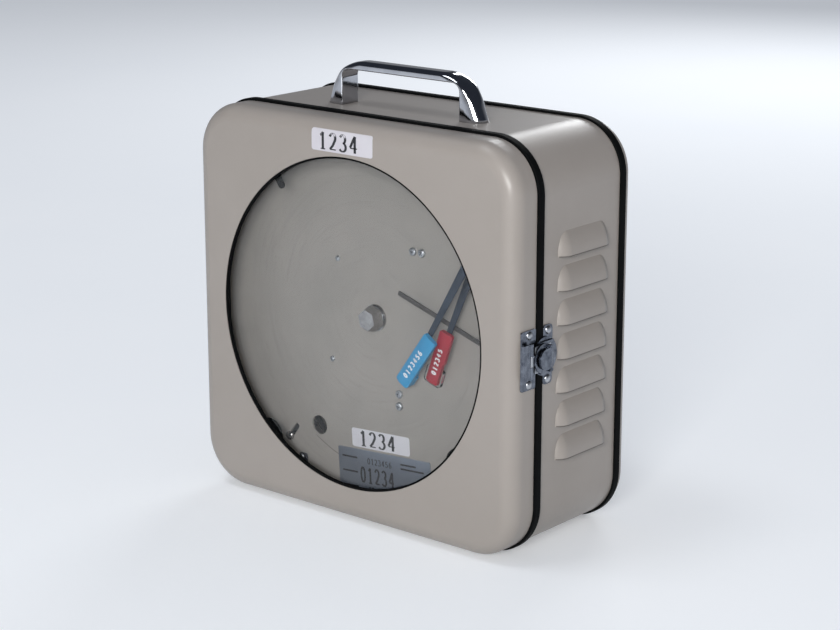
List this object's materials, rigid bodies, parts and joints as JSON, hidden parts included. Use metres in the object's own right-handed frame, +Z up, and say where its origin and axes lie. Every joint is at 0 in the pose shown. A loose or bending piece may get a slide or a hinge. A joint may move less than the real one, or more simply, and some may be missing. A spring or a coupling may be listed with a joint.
{
  "type": "chart recorder",
  "caption": "Portable circular chart recorder with rounded steel case, hinged round-window door, carrying handle, side latch, pen arms and clock drive",
  "frame": {"origin": "on the surface that the recorder stands on, under the middle of the front trim, in the plane of the hinge pins, midway across its width", "axes": "+X to the right as the door is faced, +Y from the door to the rear cover, +Z up"},
  "size_m": [0.2573, 0.1104, 0.2655],
  "materials": {
    "painted_case": "semi-gloss putty paint",
    "black_rubber": "satin black",
    "chrome": "polished",
    "steel": "bright",
    "brass": "satin",
    "panel_paint": "satin grey paint",
    "dark_plastic": "matte",
    "label_metal": "printed, satin",
    "white_label": "coated",
    "arm_metal": "blued",
    "blue_plastic": "glossy",
    "red_plastic": "glossy",
    "clear_plastic": "clear",
    "window_clear": "clear",
    "battery_jacket": "printed sleeve",
    "element_film": "woven film",
    "bimetal": "dull"
  },
  "bodies": {
    "case": {"case_body": "painted_case", "front_trim": "black_rubber", "rear_trim": "black_rubber", "rear_cover": "painted_case", "case_brackets": "steel", "case_screws": "steel", "handle": "chrome", "handle_screws": "steel", "hinge_body_leaves": "steel", "hinge_pins": "chrome", "body_rivets": "steel", "latch_base": "chrome", "latch_axle": "steel", "chart_panel": "panel_paint", "panel_tab": "dark_plastic", "clock_frame": "brass", "clock_screws": "steel", "clock_motor": "steel", "battery_holder": "dark_plastic", "battery": "battery_jacket", "switch_body": "dark_plastic", "label_plate": "label_metal", "panel_sticker": "white_label", "shaft_bushes": "brass", "sensor_plate": "steel", "bimetal_coil": "bimetal", "humidity_element": "element_film", "element_mounts": "steel", "lifter_bracket": "steel"},
    "door": {"door_shell": "painted_case", "window_gasket": "black_rubber", "window_pane": "window_clear", "window_clips": "black_rubber", "clip_screws": "steel", "hinge_door_leaves": "steel", "door_rivets": "steel", "latch_keeper": "chrome", "door_sticker": "white_label"},
    "latch_disc": {"latch_disc": "chrome"},
    "latch_wing": {"latch_wing": "chrome"},
    "latch_carriage": {"latch_carriage": "steel", "link_pin": "steel"},
    "latch_link": {"latch_link": "chrome"},
    "chart_hub": {"chart_hub": "chrome", "chart_gear": "brass"},
    "motor_pinion": {"motor_pinion": "brass"},
    "clamp_washer": {"clamp_washer": "steel"},
    "clamp_knob": {"clamp_knob": "chrome"},
    "front_shaft": {"arm_rod": "steel"},
    "rear_shaft": {"arm_tube": "brass"},
    "front_arm": {"front_arm": "arm_metal", "blue_pen": "blue_plastic", "blue_nib": "blue_plastic"},
    "rear_arm": {"rear_arm": "arm_metal", "red_pen": "red_plastic", "red_nib": "red_plastic", "pen_guard": "clear_plastic"},
    "pen_lifter": {"pen_lifter": "arm_metal"},
    "switch_stud": {"switch_stud": "chrome"}
  },
  "joints": [
    {"name": "door_hinge", "type": "hinge", "parent": "case", "child": "door", "pos_m": [-0.126, 0, 0.12025], "axis": [0, 0, -1], "range_deg": [0, 150]},
    {"name": "latch_turn", "type": "hinge", "parent": "case", "child": "latch_disc", "pos_m": [0.1248, -0.0006, 0.11965], "axis": [1, 0, 0], "range_deg": [0, 180]},
    {"name": "latch_slide", "type": "slide", "parent": "case", "child": "latch_carriage", "axis": [0, -1, 0], "range_m": [0, 0.004]},
    {"name": "link_tilt", "type": "hinge", "parent": "latch_carriage", "child": "latch_link", "pos_m": [0.12395, -0.0106, 0.11965], "axis": [0, 0, 1], "range_deg": [0, 80]},
    {"name": "wing_fold", "type": "hinge", "parent": "latch_disc", "child": "latch_wing", "pos_m": [0.12725, 0.0021, 0.11965], "axis": [0, 0, 1], "range_deg": [0, 90]},
    {"name": "chart_turn", "type": "hinge", "parent": "case", "child": "chart_hub", "pos_m": [0, 0.0035, 0.12025], "axis": [0, -1, 0], "continuous": true},
    {"name": "pinion_turn", "type": "hinge", "parent": "case", "child": "motor_pinion", "pos_m": [-0.02091, 0.007, 0.10817], "axis": [0, -1, 0], "continuous": true},
    {"name": "clamp_slide", "type": "slide", "parent": "chart_hub", "child": "clamp_washer", "axis": [0, -1, 0], "range_m": [0, 0.005]},
    {"name": "knob_turn", "type": "hinge", "parent": "clamp_washer", "child": "clamp_knob", "pos_m": [0, -0.0025, 0.12025], "axis": [0, -1, 0], "range_deg": [0, 1800.1]},
    {"name": "front_swing", "type": "hinge", "parent": "case", "child": "front_shaft", "pos_m": [0.0852, 0.0175, 0.18085], "axis": [0, -1, 0], "range_deg": [-15, 32], "stiffness_Nm_per_rad": 0.04},
    {"name": "rear_swing", "type": "hinge", "parent": "case", "child": "rear_shaft", "pos_m": [0.0852, 0.0175, 0.18085], "axis": [0, -1, 0], "range_deg": [-22, 21], "stiffness_Nm_per_rad": 0.04},
    {"name": "lifter_tilt", "type": "hinge", "parent": "case", "child": "pen_lifter", "pos_m": [0.0995, -0.0025, 0.11505], "axis": [0.309, 0, 0.9511], "range_deg": [0, 3.3]},
    {"name": "front_lift", "type": "hinge", "parent": "front_shaft", "child": "front_arm", "pos_m": [0.08067, -0.0079, 0.17307], "axis": [-0.8643, 0, 0.503], "range_deg": [0, 3.5]},
    {"name": "rear_lift", "type": "hinge", "parent": "rear_shaft", "child": "rear_arm", "pos_m": [0.08171, -0.0037, 0.17255], "axis": [-0.9219, 0, 0.3875], "range_deg": [0, 3.5]},
    {"name": "switch_slide", "type": "slide", "parent": "case", "child": "switch_stud", "axis": [0.6018, 0, 0.7986], "range_m": [0, 0.0086]}
  ],
  "couplings": [
    {"joint": "latch_slide", "follows": "latch_turn", "m_per_rad": 0.0012732},
    {"joint": "pinion_turn", "follows": "chart_turn", "ratio": -4},
    {"joint": "knob_turn", "follows": "clamp_slide", "rad_per_m": 6283.2},
    {"joint": "front_lift", "follows": "lifter_tilt", "ratio": 1.05},
    {"joint": "rear_lift", "follows": "lifter_tilt", "ratio": 1.05}
  ]
}
